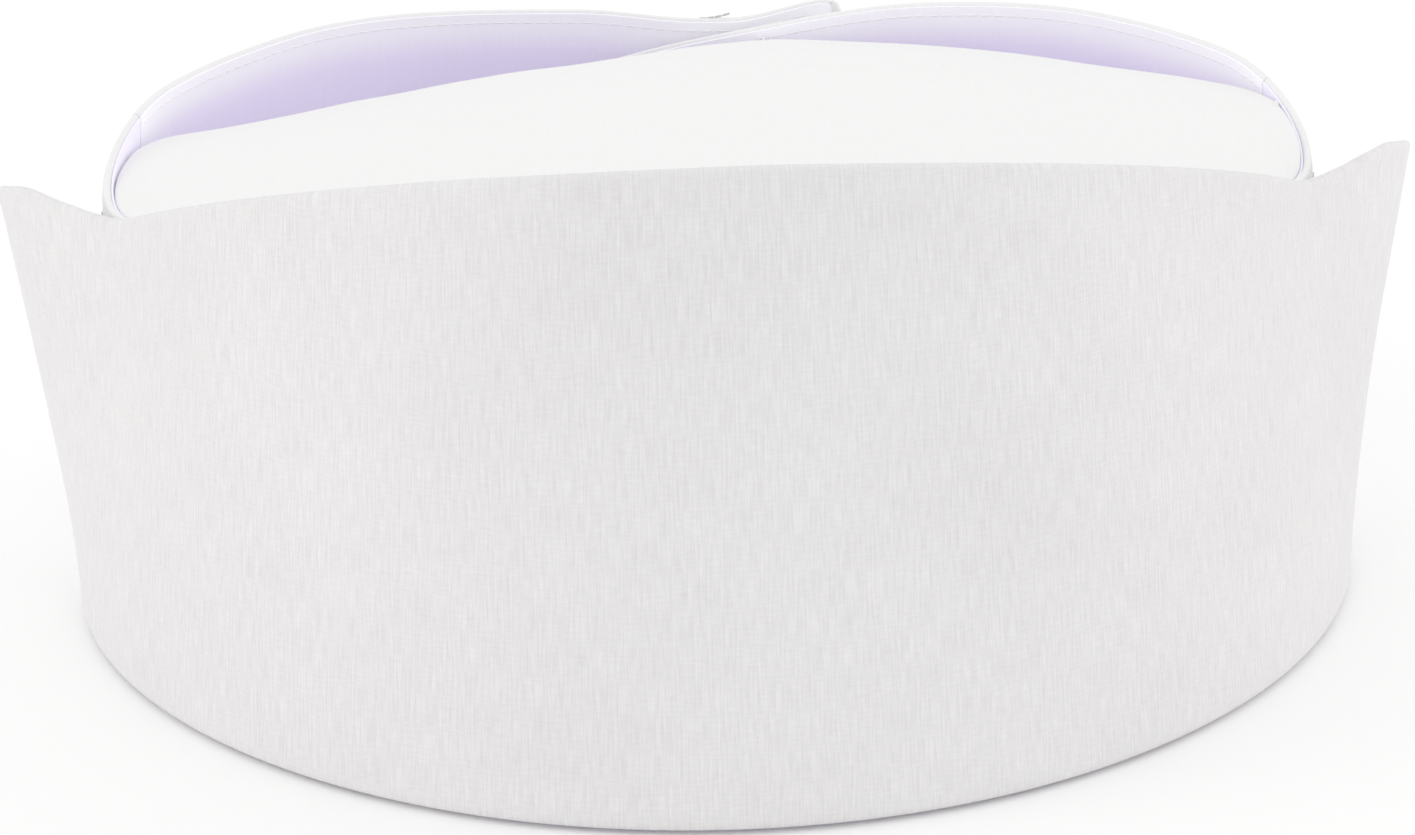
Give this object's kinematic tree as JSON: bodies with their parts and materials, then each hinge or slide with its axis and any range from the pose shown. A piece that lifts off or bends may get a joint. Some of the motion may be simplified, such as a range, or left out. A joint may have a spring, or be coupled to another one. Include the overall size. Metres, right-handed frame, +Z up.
{
  "type": "winged service cap",
  "caption": "Low white starched cap: tall turned-up front cuff with wing tips, flat crown, and rear tails that overlap and fasten, the outer one opening sideways.",
  "frame": {"origin": "centre of the head opening, where its widest line meets the plane of the bottom edge", "axes": "+Z up out of the crown, -Y to the cap's front, +X along the widest line to the side on the right as seen from the front"},
  "size_m": [0.2222, 0.1792, 0.095],
  "materials": {
    "cuff_cloth": "starched plain-weave polyester and cotton, matte",
    "crown_cloth": "starched plain-weave polyester and cotton, matte",
    "band_cloth": "starched plain-weave polyester and cotton, matte",
    "lining_cloth": "plain-weave polyester and cotton, matte, faintly cool",
    "stiff_interlining": "resin-stiffened buckram, matte",
    "hook_tape": "woven nylon tape with small hooks",
    "loop_tape": "brushed nylon tape with soft loops",
    "sewing_thread": "spun polyester thread, satin"
  },
  "bodies": {
    "cap": {"cuff_face": "cuff_cloth", "cuff_interlining": "stiff_interlining", "cuff_backing": "lining_cloth", "crown_wall": "band_cloth", "crown_wall_interlining": "stiff_interlining", "crown_wall_lining": "lining_cloth", "crown_top": "crown_cloth", "crown_top_lining": "lining_cloth", "right_tail_face": "band_cloth", "right_tail_interlining": "stiff_interlining", "right_tail_lining": "lining_cloth", "hook_patch": "hook_tape", "hook_patch_stitching": "sewing_thread", "band_hem_stitching": "sewing_thread", "right_tail_hem_stitching": "sewing_thread", "crown_seam_stitching": "sewing_thread", "right_seam_stitching": "sewing_thread", "left_seam_stitching": "sewing_thread", "right_cuff_tack": "sewing_thread", "left_cuff_tack": "sewing_thread", "crown_tack": "sewing_thread"},
    "outer_tail": {"left_tail_face": "band_cloth", "left_tail_interlining": "stiff_interlining", "left_tail_lining": "lining_cloth", "loop_patch": "loop_tape", "loop_patch_stitching": "sewing_thread", "left_tail_hem_stitching": "sewing_thread"}
  },
  "joints": [
    {"name": "outer_tail_opening", "type": "hinge", "parent": "cap", "child": "outer_tail", "pos_m": [-0.09736, 0.01925, 0], "axis": [0.0922, -0.0224, 0.9955], "range_deg": [0, 75]}
  ]
}
